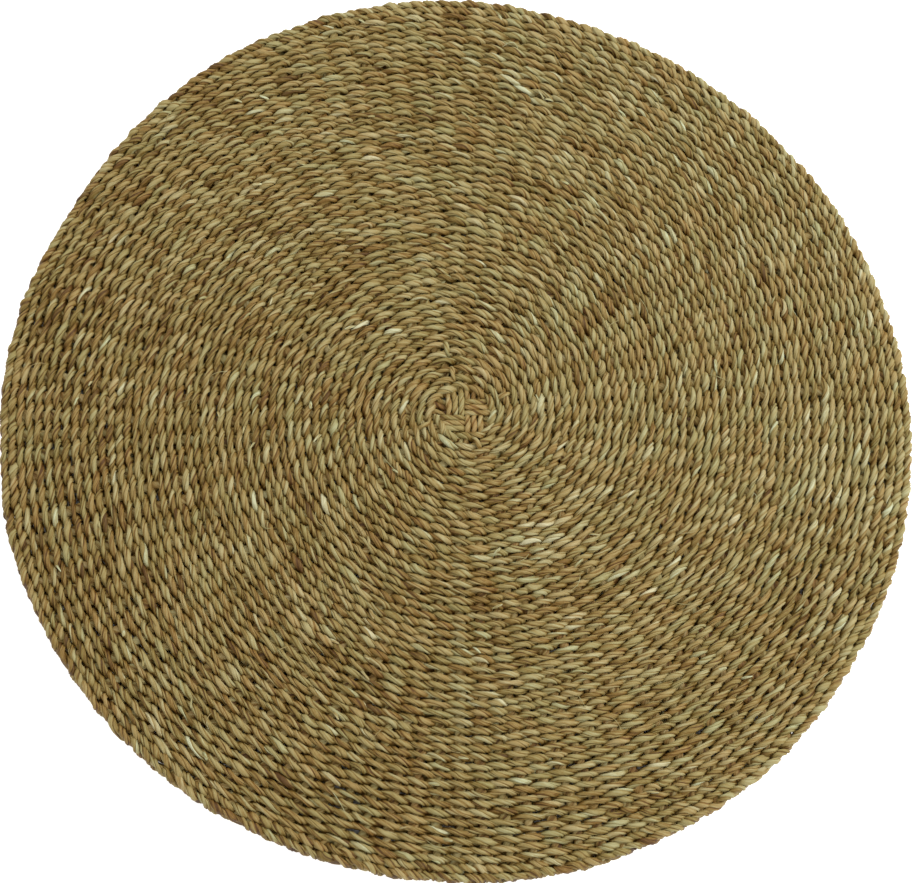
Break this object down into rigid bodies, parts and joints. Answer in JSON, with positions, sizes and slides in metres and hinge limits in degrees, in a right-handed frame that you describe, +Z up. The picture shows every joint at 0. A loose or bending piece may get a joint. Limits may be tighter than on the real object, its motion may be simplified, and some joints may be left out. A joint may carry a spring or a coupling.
{
  "type": "chair seat pad",
  "caption": "Round, flat, hand-woven seagrass seat pad: weft strands twined in rings round spokes that cross in a small check at the middle.",
  "frame": {"origin": "centre of the underside, on the surface that the pad lies on", "axes": "+Z up through the thickness, +X and +Y along the two directions of the woven check at the middle"},
  "size_m": [0.4, 0.4, 0.009],
  "materials": {
    "base_spoke": "matte",
    "added_spoke": "matte",
    "weft_strand_a": "matte",
    "weft_strand_b": "matte",
    "border_strand": "matte"
  },
  "bodies": {
    "root": {"base_spoke_across_1": "base_spoke", "base_spoke_across_2": "base_spoke", "base_spoke_across_3": "base_spoke", "base_spoke_across_4": "base_spoke", "base_spoke_across_5": "base_spoke", "base_spoke_across_6": "base_spoke", "base_spoke_upright_1": "base_spoke", "base_spoke_upright_2": "base_spoke", "base_spoke_upright_3": "base_spoke", "base_spoke_upright_4": "base_spoke", "base_spoke_upright_5": "base_spoke", "base_spoke_upright_6": "base_spoke", "added_spoke_01": "added_spoke", "added_spoke_02": "added_spoke", "added_spoke_03": "added_spoke", "added_spoke_04": "added_spoke", "added_spoke_05": "added_spoke", "added_spoke_06": "added_spoke", "added_spoke_07": "added_spoke", "added_spoke_08": "added_spoke", "added_spoke_09": "added_spoke", "added_spoke_10": "added_spoke", "added_spoke_11": "added_spoke", "added_spoke_12": "added_spoke", "weft_01_strand_a": "weft_strand_a", "weft_01_strand_b": "weft_strand_b", "weft_02_strand_a": "weft_strand_a", "weft_02_strand_b": "weft_strand_b", "weft_03_strand_a": "weft_strand_a", "weft_03_strand_b": "weft_strand_b", "weft_04_strand_a": "weft_strand_a", "weft_04_strand_b": "weft_strand_b", "weft_05_strand_a": "weft_strand_a", "weft_05_strand_b": "weft_strand_b", "weft_06_strand_a": "weft_strand_a", "weft_06_strand_b": "weft_strand_b", "weft_07_strand_a": "weft_strand_a", "weft_07_strand_b": "weft_strand_b", "weft_08_strand_a": "weft_strand_a", "weft_08_strand_b": "weft_strand_b", "weft_09_strand_a": "weft_strand_a", "weft_09_strand_b": "weft_strand_b", "weft_10_strand_a": "weft_strand_a", "weft_10_strand_b": "weft_strand_b", "weft_11_strand_a": "weft_strand_a", "weft_11_strand_b": "weft_strand_b", "weft_12_strand_a": "weft_strand_a", "weft_12_strand_b": "weft_strand_b", "weft_13_strand_a": "weft_strand_a", "weft_13_strand_b": "weft_strand_b", "weft_14_strand_a": "weft_strand_a", "weft_14_strand_b": "weft_strand_b", "border_strand_a": "border_strand", "border_strand_b": "border_strand"}
  },
  "joints": []
}
